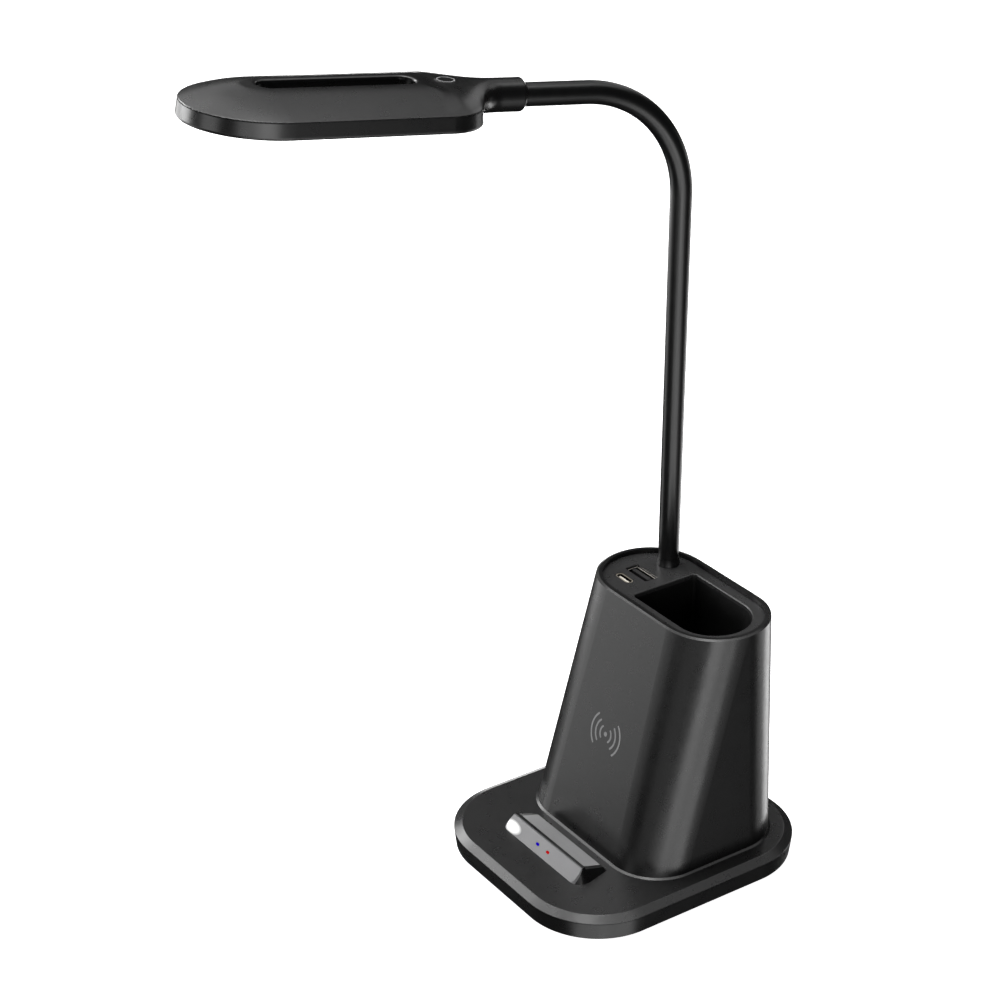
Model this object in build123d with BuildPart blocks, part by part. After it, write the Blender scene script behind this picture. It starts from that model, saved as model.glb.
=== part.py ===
from build123d import *
import math
import os

os.makedirs("parts", exist_ok=True)

# ---------------------------------------------------------------- dimensions
# Frame: origin on the standing plane under the middle of the base,
# +X to the right along the front face, -Y to the front, +Z up. Millimetres.

# base
BASE_W, BASE_D, BASE_R = 112.8, 129.6, 33.7
BASE_FLARE = 0.9            # how much narrower the foot of the side wall is
PAD_Z = 1.0                 # thickness of the anti-slip sheet
TRAY_Z0, TRAY_Z1 = 0.5, 8.25
LID_Z0, LID_Z1 = 8.45, 10.65
LID_BEVEL_W, LID_BEVEL_H = 3.6, 1.9
BALLAST_Z0, BALLAST_Z1 = 2.4, 7.2
SCREW_X, SCREW_Y = 40.0, 47.0

# body
FOOT_W, FOOT_D, FOOT_R, FOOT_Y = 91.0, 76.8, 21.9, 15.6
RIM_W, RIM_D, RIM_R, RIM_Y = 87.5, 47.8, 23.8, 28.0
RIM_Z = 114.05
WALL = 2.2
RIM_LIP = 2.6               # width of the rim on top
DECK_Z = 112.05
DECK_T = 2.0
BEAD_W, BEAD_H = 1.0, 0.52  # thin sloping flange round the foot of the body
RIM_BEVEL_W, RIM_BEVEL_H = 0.95, 0.5

# pen cup
CUP_X0 = -12.2              # flat side next to the deck
CUP_CX, CUP_CY, CUP_R = 19.6, 28.0, 16.4
CUP_T = 1.6
CUP_FLOOR_Z = 30.0

# ports on the deck
USBA_X, USBA_Y = -25.5, 26.1
USBC_X, USBC_Y = -26.1, 17.6
PORT_Z0 = DECK_Z - 14.6     # underside of both port shells

# phone rest
REST_X, REST_XM, REST_XR = 27.8, 27.6, 24.9    # half length at the front, middle and rear
REST_CORNER, REST_DRAFT = 5.0, 32.0
REST_Y0, REST_YM, REST_Y1 = -44.4, -38.0, -27.2
REST_YT0, REST_YT1 = -39.75, -37.8
REST_Z, REST_ZS, REST_ZB = 16.15, 15.35, 12.1  # height of the ridge, and of the shelf at its front and rear
LENS_T = 0.5
MARK_X = 3.6

# neck
NECK_X, NECK_Y, NECK_R = -26.2, 40.9, 4.4
SOCKET_R = NECK_R + 0.25
ARM_TURN, ARM_RISE = 7.8, 6.3       # degrees: to the left of the front, and upward
BEND_R = 48.3
CORNER_Z = 320.5            # where the upright and the arm axes meet
LOW_HINGES = (128.0, 158.0, 188.0, 218.0, 248.0)
ARM_HINGES = (52.5, 61.6)   # distance along the arm from that corner

# head
HEAD_S = 94.65              # rear of the head, along the arm
HEAD_L, HEAD_W = 111.25, 57.3
HEAD_AF, HEAD_RR = 31.6, 18.0
SEAM, HEAD_BOT, CROWN = 0.9, -5.25, 7.2
SLOT_U0, SLOT_U1, SLOT_W = 21.65, 83.25, 10.2
SOCK_R, SOCK_L = 6.4, 23.95
RIDGE_L = 17.2              # the socket runs on into the crown as a ridge
TOUCH_U, TOUCH_Z = 8.95, 6.6

# ---------------------------------------------------------------- derived
psi, eps = math.radians(ARM_TURN), math.radians(ARM_RISE)
H = Vector(-math.sin(psi), -math.cos(psi), 0)
U = H * math.cos(eps) + Vector(0, 0, 1) * math.sin(eps)
W = Vector(0, 0, 1) * math.cos(eps) - H * math.sin(eps)
BEND = math.pi / 2 - eps
TANGENT = BEND_R * math.tan(BEND / 2)
CORNER = Vector(NECK_X, NECK_Y, CORNER_Z)
BEND_Z = CORNER_Z - TANGENT
BEND_C = Vector(NECK_X, NECK_Y, BEND_Z) + H * BEND_R


def bend_point(a):
    return BEND_C - H * (BEND_R * math.cos(a)) + Vector(0, 0, BEND_R * math.sin(a))


HP = Plane(origin=CORNER + U * HEAD_S, x_dir=U, z_dir=W)      # head frame
AP = Plane(origin=CORNER, x_dir=W, z_dir=U)                  # across the arm

lean = math.atan2((RIM_Y - RIM_D / 2) - (FOOT_Y - FOOT_D / 2), RIM_Z - LID_Z1)
FACE_UP = Vector(0, math.sin(lean), math.cos(lean))
FACE_N = Vector(0, -math.cos(lean), math.sin(lean))
COIL_Z = 58.3
COIL_P = Vector(0, (FOOT_Y - FOOT_D / 2) + (COIL_Z - LID_Z1) * math.tan(lean), COIL_Z)
FP = Plane(origin=COIL_P, x_dir=Vector(1, 0, 0), z_dir=FACE_N)  # front face, at the coil

slope = math.atan2(REST_Z - LID_Z1, REST_YT0 - REST_Y0)
WP = Plane(origin=Vector(0, (REST_Y0 + REST_YT0) / 2, (LID_Z1 + REST_Z) / 2),
           x_dir=Vector(1, 0, 0), z_dir=Vector(0, -math.sin(slope), math.cos(slope)))
back = math.atan2(REST_ZS - REST_ZB, REST_Y1 - REST_YT1)
BP = Plane(origin=Vector(0, (REST_Y1 + REST_YT1) / 2, (REST_ZB + REST_ZS) / 2),
           x_dir=Vector(1, 0, 0), z_dir=Vector(0, math.sin(back), math.cos(back)))

# ================================================================ base
with BuildPart() as anti_slip_pad:
    with BuildSketch(Plane.XY):
        RectangleRounded(BASE_W - 14, BASE_D - 14, BASE_R - 7)
    extrude(amount=PAD_Z)
anti_slip_pad.part.label = "anti_slip_pad"
export_step(anti_slip_pad.part, "parts/anti_slip_pad.step")

with BuildPart() as base_tray:
    with BuildSketch(Plane.XY.offset(TRAY_Z0)):
        RectangleRounded(BASE_W - 2 * BASE_FLARE, BASE_D - 2 * BASE_FLARE, BASE_R - BASE_FLARE)
    with BuildSketch(Plane.XY.offset(TRAY_Z1)):
        RectangleRounded(BASE_W, BASE_D, BASE_R)
    loft(ruled=True)
    fillet(base_tray.faces().sort_by(Axis.Z)[0].edges(), 0.6)
    # hollow, open at the top
    with BuildSketch(Plane.XY.offset(2.4)):
        RectangleRounded(BASE_W - 8, BASE_D - 8, BASE_R - 4)
    extrude(amount=TRAY_Z1 - 2.4, mode=Mode.SUBTRACT)
    # recess for the anti-slip sheet
    with BuildSketch(Plane.XY.offset(TRAY_Z0)):
        RectangleRounded(BASE_W - 13.6, BASE_D - 13.6, BASE_R - 6.8)
    extrude(amount=PAD_Z - TRAY_Z0, mode=Mode.SUBTRACT)
    # screw posts up to the lid
    with BuildSketch(Plane.XY.offset(2.4)):
        with GridLocations(2 * SCREW_X, 2 * SCREW_Y, 2, 2):
            Circle(4.2)
    extrude(amount=LID_Z0 - 2.4)
    with BuildSketch(Plane.XY.offset(PAD_Z)):
        with GridLocations(2 * SCREW_X, 2 * SCREW_Y, 2, 2):
            Circle(1.6)
    extrude(amount=LID_Z0 - PAD_Z, mode=Mode.SUBTRACT)
    with BuildSketch(Plane.XY.offset(PAD_Z)):
        with GridLocations(2 * SCREW_X, 2 * SCREW_Y, 2, 2):
            Circle(3.1)
    extrude(amount=2.2, mode=Mode.SUBTRACT)
base_tray.part.label = "base_tray"
export_step(base_tray.part, "parts/base_tray.step")

with BuildPart() as base_ballast:
    with BuildSketch(Plane.XY.offset(BALLAST_Z0)):
        RectangleRounded(BASE_W - 10, BASE_D - 10, BASE_R - 5)
        with GridLocations(2 * SCREW_X, 2 * SCREW_Y, 2, 2):
            Circle(5.0, mode=Mode.SUBTRACT)
    extrude(amount=BALLAST_Z1 - BALLAST_Z0)
base_ballast.part.label = "base_ballast"
export_step(base_ballast.part, "parts/base_ballast.step")

with BuildPart() as base_top_shell:
    with BuildSketch(Plane.XY.offset(LID_Z0)):
        RectangleRounded(BASE_W, BASE_D, BASE_R)
    extrude(amount=LID_Z1 - LID_Z0)
    chamfer(base_top_shell.faces().sort_by(Axis.Z)[-1].edges(), LID_BEVEL_H, LID_BEVEL_W)
    fillet(base_top_shell.faces().sort_by(Axis.Z)[-1].edges(), 0.9)
    # wire pass under the body
    with BuildSketch(Plane.XY.offset(LID_Z0)):
        with Locations((0, 8)):
            SlotOverall(16, 7)
    extrude(amount=LID_Z1 - LID_Z0, mode=Mode.SUBTRACT)
    with BuildSketch(Plane.XY.offset(LID_Z0)):
        with GridLocations(2 * SCREW_X, 2 * SCREW_Y, 2, 2):
            Circle(1.3)
    extrude(amount=1.4, mode=Mode.SUBTRACT)
base_top_shell.part.label = "base_top_shell"
export_step(base_top_shell.part, "parts/base_top_shell.step")

with BuildPart() as base_screws:
    with BuildSketch(Plane.XY.offset(PAD_Z + 0.6)):
        with GridLocations(2 * SCREW_X, 2 * SCREW_Y, 2, 2):
            Circle(2.8)
    extrude(amount=1.6)
    with BuildSketch(Plane.XY.offset(PAD_Z + 2.2)):
        with GridLocations(2 * SCREW_X, 2 * SCREW_Y, 2, 2):
            Circle(1.3)
    extrude(amount=LID_Z0 + 1.3 - (PAD_Z + 2.2))
    with BuildSketch(Plane.XY.offset(PAD_Z + 0.6)):
        with GridLocations(2 * SCREW_X, 2 * SCREW_Y, 2, 2):
            Rectangle(2.6, 0.6)
            Rectangle(0.6, 2.6)
    extrude(amount=0.9, mode=Mode.SUBTRACT)
base_screws.part.label = "base_screws"
export_step(base_screws.part, "parts/base_screws.step")

# ================================================================ body
with BuildPart() as body_shell:
    with BuildSketch(Plane.XY.offset(LID_Z1)):
        with Locations((0, FOOT_Y)):
            RectangleRounded(FOOT_W, FOOT_D, FOOT_R)
    with BuildSketch(Plane.XY.offset(RIM_Z)):
        with Locations((0, RIM_Y)):
            RectangleRounded(RIM_W, RIM_D, RIM_R)
    loft(ruled=True)
    top_face = body_shell.faces().sort_by(Axis.Z)[-1]
    chamfer(top_face.edges(), RIM_BEVEL_W, RIM_BEVEL_H, reference=top_face)
    with BuildSketch(Plane.XY.offset(LID_Z1)):
        with Locations((0, FOOT_Y)):
            RectangleRounded(FOOT_W + 2 * BEAD_W, FOOT_D + 2 * BEAD_W, FOOT_R + BEAD_W)
    with BuildSketch(Plane.XY.offset(LID_Z1 + BEAD_H)):
        with Locations((0, FOOT_Y)):
            RectangleRounded(FOOT_W - 0.1, FOOT_D - 0.1, FOOT_R - 0.05)
    loft(ruled=True)
    # hollow
    with BuildSketch(Plane.XY.offset(LID_Z1)):
        with Locations((0, FOOT_Y)):
            RectangleRounded(FOOT_W - 2 * WALL, FOOT_D - 2 * WALL, FOOT_R - WALL)
    with BuildSketch(Plane.XY.offset(RIM_Z)):
        with Locations((0, RIM_Y)):
            RectangleRounded(RIM_W - 2 * RIM_LIP, RIM_D - 2 * RIM_LIP, RIM_R - RIM_LIP)
    loft(ruled=True, mode=Mode.SUBTRACT)
    # seat for the deck panel
    with BuildSketch(Plane.XY.offset(DECK_Z - DECK_T)):
        with Locations((0, RIM_Y - 0.25)):
            RectangleRounded(RIM_W - 2 * RIM_LIP + 1.0, RIM_D - 2 * RIM_LIP + 1.0, RIM_R - RIM_LIP + 0.5)
    extrude(amount=DECK_T + 0.2, mode=Mode.SUBTRACT)
    # power inlet at the back
    with BuildSketch(Plane(origin=(0, 40, 21), x_dir=(1, 0, 0), z_dir=(0, 1, 0))):
        Circle(4.1)
    extrude(amount=20, mode=Mode.SUBTRACT)
body_shell.part.label = "body_shell"
export_step(body_shell.part, "parts/body_shell.step")

with BuildPart() as deck_panel:
    with BuildSketch(Plane.XY.offset(DECK_Z - DECK_T)):
        with Locations((0, RIM_Y - 0.25)):
            RectangleRounded(RIM_W - 2 * RIM_LIP + 0.92, RIM_D - 2 * RIM_LIP + 0.92, RIM_R - RIM_LIP + 0.46)
    extrude(amount=DECK_T)
    # cup opening
    with BuildSketch(Plane.XY.offset(DECK_Z - DECK_T)):
        with BuildLine():
            Polyline((CUP_CX, CUP_CY + CUP_R), (CUP_X0, CUP_CY + CUP_R), (CUP_X0, CUP_CY - CUP_R), (CUP_CX, CUP_CY - CUP_R))
            ThreePointArc((CUP_CX, CUP_CY - CUP_R), (CUP_CX + CUP_R, CUP_CY), (CUP_CX, CUP_CY + CUP_R))
        make_face()
        # ports and the neck stud
        with Locations((USBA_X, USBA_Y)):
            RectangleRounded(14.2, 6.5, 0.7)
        with Locations((USBC_X, USBC_Y)):
            SlotOverall(10.0, 3.8)
        with Locations((NECK_X, NECK_Y)):
            Circle(4.05)
    extrude(amount=DECK_T, mode=Mode.SUBTRACT)
    fillet(deck_panel.edges().filter_by(Axis.Z).filter_by(lambda e: abs(e.center().X - CUP_X0) < 0.05), 1.6)
    # soft upper edge of the cup opening
    mouth = deck_panel.faces().sort_by(Axis.Z)[-1].inner_wires().sort_by(SortBy.LENGTH)[-1]
    fillet(mouth.edges(), 0.6)
deck_panel.part.label = "deck_panel"
export_step(deck_panel.part, "parts/deck_panel.step")

with BuildPart() as pen_cup:
    with BuildSketch(Plane.XY.offset(CUP_FLOOR_Z - CUP_T)):
        with BuildLine():
            Polyline((CUP_CX, CUP_CY + CUP_R + CUP_T), (CUP_X0 - CUP_T, CUP_CY + CUP_R + CUP_T),
                     (CUP_X0 - CUP_T, CUP_CY - CUP_R - CUP_T), (CUP_CX, CUP_CY - CUP_R - CUP_T))
            ThreePointArc((CUP_CX, CUP_CY - CUP_R - CUP_T), (CUP_CX + CUP_R + CUP_T, CUP_CY), (CUP_CX, CUP_CY + CUP_R + CUP_T))
        make_face()
    extrude(amount=DECK_Z - DECK_T - CUP_FLOOR_Z + CUP_T)
    fillet(pen_cup.edges().filter_by(Axis.Z).filter_by(lambda e: e.center().X < CUP_X0), 3.0)
    with BuildSketch(Plane.XY.offset(CUP_FLOOR_Z)):
        with BuildLine():
            Polyline((CUP_CX, CUP_CY + CUP_R), (CUP_X0, CUP_CY + CUP_R), (CUP_X0, CUP_CY - CUP_R), (CUP_CX, CUP_CY - CUP_R))
            ThreePointArc((CUP_CX, CUP_CY - CUP_R), (CUP_CX + CUP_R, CUP_CY), (CUP_CX, CUP_CY + CUP_R))
        make_face()
    extrude(amount=DECK_Z - CUP_FLOOR_Z, mode=Mode.SUBTRACT)
    fillet(pen_cup.edges().filter_by(Axis.Z).filter_by(lambda e: abs(e.center().X - CUP_X0) < 0.05), 1.6)
pen_cup.part.label = "pen_cup"
export_step(pen_cup.part, "parts/pen_cup.step")

# ---- ports
with BuildPart() as usb_a_shell:
    with BuildSketch(Plane.XY.offset(PORT_Z0)):
        with Locations((USBA_X, USBA_Y)):
            RectangleRounded(13.5, 5.9, 0.5)
    extrude(amount=DECK_Z - 0.9 - PORT_Z0)
    with BuildSketch(Plane.XY.offset(PORT_Z0 + 1)):
        with Locations((USBA_X, USBA_Y)):
            RectangleRounded(12.7, 5.1, 0.2)
    extrude(amount=20, mode=Mode.SUBTRACT)
usb_a_shell.part.label = "usb_a_shell"
export_step(usb_a_shell.part, "parts/usb_a_shell.step")

with BuildPart() as usb_a_tongue:
    with BuildSketch(Plane.XY.offset(PORT_Z0 + 1)):
        with Locations((USBA_X, USBA_Y)):
            Rectangle(12.6, 5.0)
    extrude(amount=2.5)
    with BuildSketch(Plane.XY.offset(PORT_Z0 + 3.5)):
        with Locations((USBA_X, USBA_Y + 0.25)):
            Rectangle(11.2, 2.0)
    extrude(amount=10.3)
usb_a_tongue.part.label = "usb_a_tongue"
export_step(usb_a_tongue.part, "parts/usb_a_tongue.step")

with BuildPart() as usb_c_shell:
    with BuildSketch(Plane.XY.offset(PORT_Z0)):
        with Locations((USBC_X, USBC_Y)):
            SlotOverall(9.5, 3.6)
    extrude(amount=DECK_Z - 0.1 - PORT_Z0)
    with BuildSketch(Plane.XY.offset(PORT_Z0 + 1)):
        with Locations((USBC_X, USBC_Y)):
            SlotOverall(8.4, 2.6)
    extrude(amount=20, mode=Mode.SUBTRACT)
usb_c_shell.part.label = "usb_c_shell"
export_step(usb_c_shell.part, "parts/usb_c_shell.step")

with BuildPart() as usb_c_tongue:
    with BuildSketch(Plane.XY.offset(PORT_Z0 + 1)):
        with Locations((USBC_X, USBC_Y)):
            SlotOverall(8.3, 2.5)
    extrude(amount=2.5)
    with BuildSketch(Plane.XY.offset(PORT_Z0 + 3.5)):
        with Locations((USBC_X, USBC_Y)):
            Rectangle(6.7, 0.9)
    extrude(amount=10.3)
usb_c_tongue.part.label = "usb_c_tongue"
export_step(usb_c_tongue.part, "parts/usb_c_tongue.step")

with BuildPart() as usb_board:
    with BuildSketch(Plane.XY.offset(PORT_Z0 - 1.6)):
        with Locations((-25.6, 22.0)):
            RectangleRounded(19.0, 19.0, 1.0)
    extrude(amount=1.6)
usb_board.part.label = "usb_board"
export_step(usb_board.part, "parts/usb_board.step")

# ---- wireless charger behind the front face
with BuildPart() as charging_coil:
    with BuildSketch(FP.offset(-3.6)):
        Circle(21.0)
        Circle(10.0, mode=Mode.SUBTRACT)
    extrude(amount=1.1)
charging_coil.part.label = "charging_coil"
export_step(charging_coil.part, "parts/charging_coil.step")

with BuildPart() as ferrite_sheet:
    with BuildSketch(FP.offset(-4.6)):
        Circle(23.5)
    extrude(amount=1.0)
ferrite_sheet.part.label = "ferrite_sheet"
export_step(ferrite_sheet.part, "parts/ferrite_sheet.step")

with BuildPart() as coil_bracket:
    with BuildSketch(FP.offset(-6.2)):
        RectangleRounded(56.0, 52.0, 4.0)
    extrude(amount=1.6)
    with BuildSketch(FP.offset(-4.6)):
        with GridLocations(40.0, 44.0, 2, 2):
            Circle(2.4)
    extrude(amount=1.9)
coil_bracket.part.label = "coil_bracket"
export_step(coil_bracket.part, "parts/coil_bracket.step")

# ---- electronics
with BuildPart() as board_standoffs:
    with BuildSketch(Plane.XY.offset(LID_Z1)):
        with Locations((0, 32)):
            with GridLocations(48.0, 20.0, 2, 2):
                Circle(2.4)
    extrude(amount=4.0)
board_standoffs.part.label = "board_standoffs"
export_step(board_standoffs.part, "parts/board_standoffs.step")

with BuildPart() as main_board:
    with BuildSketch(Plane.XY.offset(LID_Z1 + 4.0)):
        with Locations((0, 32)):
            RectangleRounded(56.0, 28.0, 1.5)
    extrude(amount=1.6)
main_board.part.label = "main_board"
export_step(main_board.part, "parts/main_board.step")

with BuildPart() as board_parts:
    with BuildSketch(Plane.XY.offset(LID_Z1 + 5.6)):
        with Locations((-14, 30)):
            RectangleRounded(10.0, 10.0, 1.0)
        with Locations((2, 28)):
            Rectangle(6.0, 6.0)
        with Locations((14, 33)):
            Circle(3.2)
        with Locations((21, 28)):
            Circle(2.5)
    extrude(amount=4.0)
board_parts.part.label = "board_parts"
export_step(board_parts.part, "parts/board_parts.step")

with BuildPart() as power_inlet:
    with BuildSketch(Plane(origin=(0, 52.9, 21), x_dir=(1, 0, 0), z_dir=(0, -1, 0))):
        Circle(3.9)
    extrude(amount=3.6)
    with BuildSketch(Plane(origin=(0, 49.3, 21), x_dir=(1, 0, 0), z_dir=(0, -1, 0))):
        Rectangle(9.0, 8.0)
    extrude(amount=7.0)
    with BuildSketch(Plane(origin=(0, 52.9, 21), x_dir=(1, 0, 0), z_dir=(0, -1, 0))):
        Circle(2.8)
        Circle(0.9, mode=Mode.SUBTRACT)
    extrude(amount=8.0, mode=Mode.SUBTRACT)
power_inlet.part.label = "power_inlet"
export_step(power_inlet.part, "parts/power_inlet.step")

# ================================================================ phone rest
def rest_blank():
    # footprint with round front corners and sides that draw in to the rear, cut to the side profile
    with BuildPart() as blank:
        with BuildSketch(Plane.XY.offset(LID_Z1)) as foot:
            with BuildLine():
                Polyline((-REST_X, REST_Y0), (REST_X, REST_Y0), (REST_XM, REST_YM), (REST_XR, REST_Y1),
                         (-REST_XR, REST_Y1), (-REST_XM, REST_YM), close=True)
            make_face()
            fillet(foot.vertices().filter_by(lambda v: abs(v.Y - REST_YM) < 0.01), 8.0)
            fillet(foot.vertices().sort_by(Axis.Y)[:2], REST_CORNER)
        extrude(amount=REST_Z - LID_Z1 + 1, taper=REST_DRAFT)
        with BuildSketch(Plane(origin=(-40, 0, 0), x_dir=(0, 1, 0), z_dir=(1, 0, 0))):
            with BuildLine():
                Polyline((REST_Y0, LID_Z1), (REST_YT0, REST_Z), (REST_YT1, REST_Z), (REST_YT1, REST_ZS),
                         (REST_Y1, REST_ZB), (REST_Y1, LID_Z1), close=True)
            make_face()
        extrude(amount=80, mode=Mode.INTERSECT)
    return blank.part


with BuildPart() as phone_rest:
    add(rest_blank())
    # the lens covers the front
    with BuildSketch(WP.offset(-LENS_T)):
        Rectangle(80, 30)
    extrude(amount=20, mode=Mode.SUBTRACT)
    # hollow for the indicator board
    with BuildSketch(Plane.XY.offset(LID_Z1)):
        with Locations((0, -36.0)):
            Rectangle(44.0, 7.4)
    extrude(amount=1.6, mode=Mode.SUBTRACT)
    # pocket of the pad
    with BuildSketch(BP.offset(-0.8)):
        with Locations((0, -0.35)):
            RectangleRounded(44.8, 8.9, 0.9)
    extrude(amount=3, mode=Mode.SUBTRACT)
phone_rest.part.label = "phone_rest"
export_step(phone_rest.part, "parts/phone_rest.step")

with BuildPart() as phone_rest_pad:
    with BuildSketch(BP.offset(-0.8)):
        with Locations((0, -0.35)):
            RectangleRounded(44.6, 8.7, 0.8)
    extrude(amount=0.95)
phone_rest_pad.part.label = "phone_rest_pad"
export_step(phone_rest_pad.part, "parts/phone_rest_pad.step")

with BuildPart() as status_window:
    add(rest_blank())
    with BuildSketch(WP.offset(-LENS_T)):
        Rectangle(80, 30)
    extrude(amount=-40, mode=Mode.SUBTRACT)
    with BuildSketch(WP.offset(-LENS_T - 1)):
        with Locations((-MARK_X, 0), (MARK_X, 0)):
            SlotOverall(2.2, 1.25)
    extrude(amount=5, mode=Mode.SUBTRACT)
status_window.part.label = "status_window"
export_step(status_window.part, "parts/status_window.step")

with BuildPart() as blue_indicator:
    with BuildSketch(WP.offset(-LENS_T)):
        with Locations((-MARK_X, 0)):
            SlotOverall(2.1, 1.15)
    extrude(amount=LENS_T + 0.02)
blue_indicator.part.label = "blue_indicator"
export_step(blue_indicator.part, "parts/blue_indicator.step")

with BuildPart() as red_indicator:
    with BuildSketch(WP.offset(-LENS_T)):
        with Locations((MARK_X, 0)):
            SlotOverall(2.1, 1.15)
    extrude(amount=LENS_T + 0.02)
red_indicator.part.label = "red_indicator"
export_step(red_indicator.part, "parts/red_indicator.step")

with BuildPart() as indicator_board:
    with BuildSketch(Plane.XY.offset(LID_Z1)):
        with Locations((0, -36.0)):
            Rectangle(40.0, 6.4)
    extrude(amount=1.2)
indicator_board.part.label = "indicator_board"
export_step(indicator_board.part, "parts/indicator_board.step")

# ================================================================ neck
with BuildPart() as neck_collar:
    with BuildSketch(Plane(origin=(NECK_X, NECK_Y, 0), x_dir=(1, 0, 0), z_dir=(0, -1, 0))):
        with BuildLine():
            Polyline((NECK_R + 0.02, DECK_Z), (NECK_R + 0.65, DECK_Z), (NECK_R + 0.65, DECK_Z + 0.4))
            ThreePointArc((NECK_R + 0.65, DECK_Z + 0.4), (NECK_R + 0.4, DECK_Z + 1.6), (NECK_R + 0.22, DECK_Z + 3.4))
            Polyline((NECK_R + 0.22, DECK_Z + 3.4), (NECK_R + 0.02, DECK_Z + 3.4), (NECK_R + 0.02, DECK_Z))
        make_face()
    revolve(axis=Axis((NECK_X, NECK_Y, 0), (0, 0, 1)))
neck_collar.part.label = "neck_collar"
export_step(neck_collar.part, "parts/neck_collar.step")

with BuildPart() as neck_stud:
    with BuildSketch(Plane.XY.offset(97.0)):
        with Locations((NECK_X, NECK_Y)):
            Circle(4.0)
            Circle(2.2, mode=Mode.SUBTRACT)
    extrude(amount=DECK_Z - 97.0)
neck_stud.part.label = "neck_stud"
export_step(neck_stud.part, "parts/neck_stud.step")

with BuildPart() as neck_washer:
    with BuildSketch(Plane.XY.offset(DECK_Z - DECK_T - 1.0)):
        with Locations((NECK_X, NECK_Y)):
            Circle(6.4)
            Circle(4.1, mode=Mode.SUBTRACT)
    extrude(amount=1.0)
neck_washer.part.label = "neck_washer"
export_step(neck_washer.part, "parts/neck_washer.step")

with BuildPart() as neck_nut:
    with BuildSketch(Plane.XY.offset(DECK_Z - DECK_T - 6.0)):
        with Locations((NECK_X, NECK_Y)):
            RegularPolygon(6.2, 6)
            Circle(4.0, mode=Mode.SUBTRACT)
    extrude(amount=5.0)
neck_nut.part.label = "neck_nut"
export_step(neck_nut.part, "parts/neck_nut.step")

with BuildPart() as neck_foot:
    with BuildSketch(Plane.XY.offset(DECK_Z)):
        with Locations((NECK_X, NECK_Y)):
            Circle(NECK_R)
    extrude(amount=LOW_HINGES[0] - DECK_Z)
    with Locations((NECK_X, NECK_Y, LOW_HINGES[0])):
        Sphere(NECK_R)
neck_foot.part.label = "neck_foot"
export_step(neck_foot.part, "parts/neck_foot.step")

# upright spans: a ball at the top of each turns in the cup under the next
UPRIGHT = LOW_HINGES + (BEND_Z,)
for i in range(5):
    with BuildPart() as neck_span:
        with BuildSketch(Plane.XY.offset(UPRIGHT[i])):
            with Locations((NECK_X, NECK_Y)):
                Circle(NECK_R)
        extrude(amount=UPRIGHT[i + 1] - UPRIGHT[i])
        with Locations((NECK_X, NECK_Y, UPRIGHT[i + 1])):
            Sphere(NECK_R)
        with Locations((NECK_X, NECK_Y, UPRIGHT[i])):
            Sphere(SOCKET_R, mode=Mode.SUBTRACT)
    neck_span.part.label = f"neck_span_{i + 1:02d}"
    export_step(neck_span.part, f"parts/neck_span_{i + 1:02d}.step")

# bent spans
BEND_AT = [BEND * k / 3 for k in range(4)]
for i in range(3):
    a0, a1 = BEND_AT[i], BEND_AT[i + 1]
    with BuildPart() as neck_span:
        with BuildLine() as run:
            ThreePointArc(bend_point(a0), bend_point((a0 + a1) / 2), bend_point(a1))
        with BuildSketch(Plane(origin=run.line @ 0, z_dir=run.line % 0)):
            Circle(NECK_R)
        sweep()
        with Locations(bend_point(a1)):
            Sphere(NECK_R)
        with Locations(bend_point(a0)):
            Sphere(SOCKET_R, mode=Mode.SUBTRACT)
    neck_span.part.label = f"neck_span_{i + 6:02d}"
    export_step(neck_span.part, f"parts/neck_span_{i + 6:02d}.step")

# arm spans
ARM_AT = (TANGENT,) + ARM_HINGES
for i in range(2):
    with BuildPart() as neck_span:
        with BuildSketch(AP.offset(ARM_AT[i])):
            Circle(NECK_R)
        extrude(amount=ARM_AT[i + 1] - ARM_AT[i])
        with Locations(CORNER + U * ARM_AT[i + 1]):
            Sphere(NECK_R)
        with Locations(CORNER + U * ARM_AT[i]):
            Sphere(SOCKET_R, mode=Mode.SUBTRACT)
    neck_span.part.label = f"neck_span_{i + 9:02d}"
    export_step(neck_span.part, f"parts/neck_span_{i + 9:02d}.step")

with BuildPart() as neck_end:
    with BuildSketch(AP.offset(ARM_AT[2])):
        Circle(NECK_R)
    extrude(amount=HEAD_S - 5.0 - ARM_AT[2])
    with Locations(CORNER + U * ARM_AT[2]):
        Sphere(SOCKET_R, mode=Mode.SUBTRACT)
neck_end.part.label = "neck_span_11"
export_step(neck_end.part, "parts/neck_span_11.step")

# ================================================================ head
# rings of the crowned shell: height and inset
CROWN_RINGS = ((SEAM, 0.0), (2.84, 4.2), (4.72, 9.6), (6.31, 15.6), (CROWN, 21.5))

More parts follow.
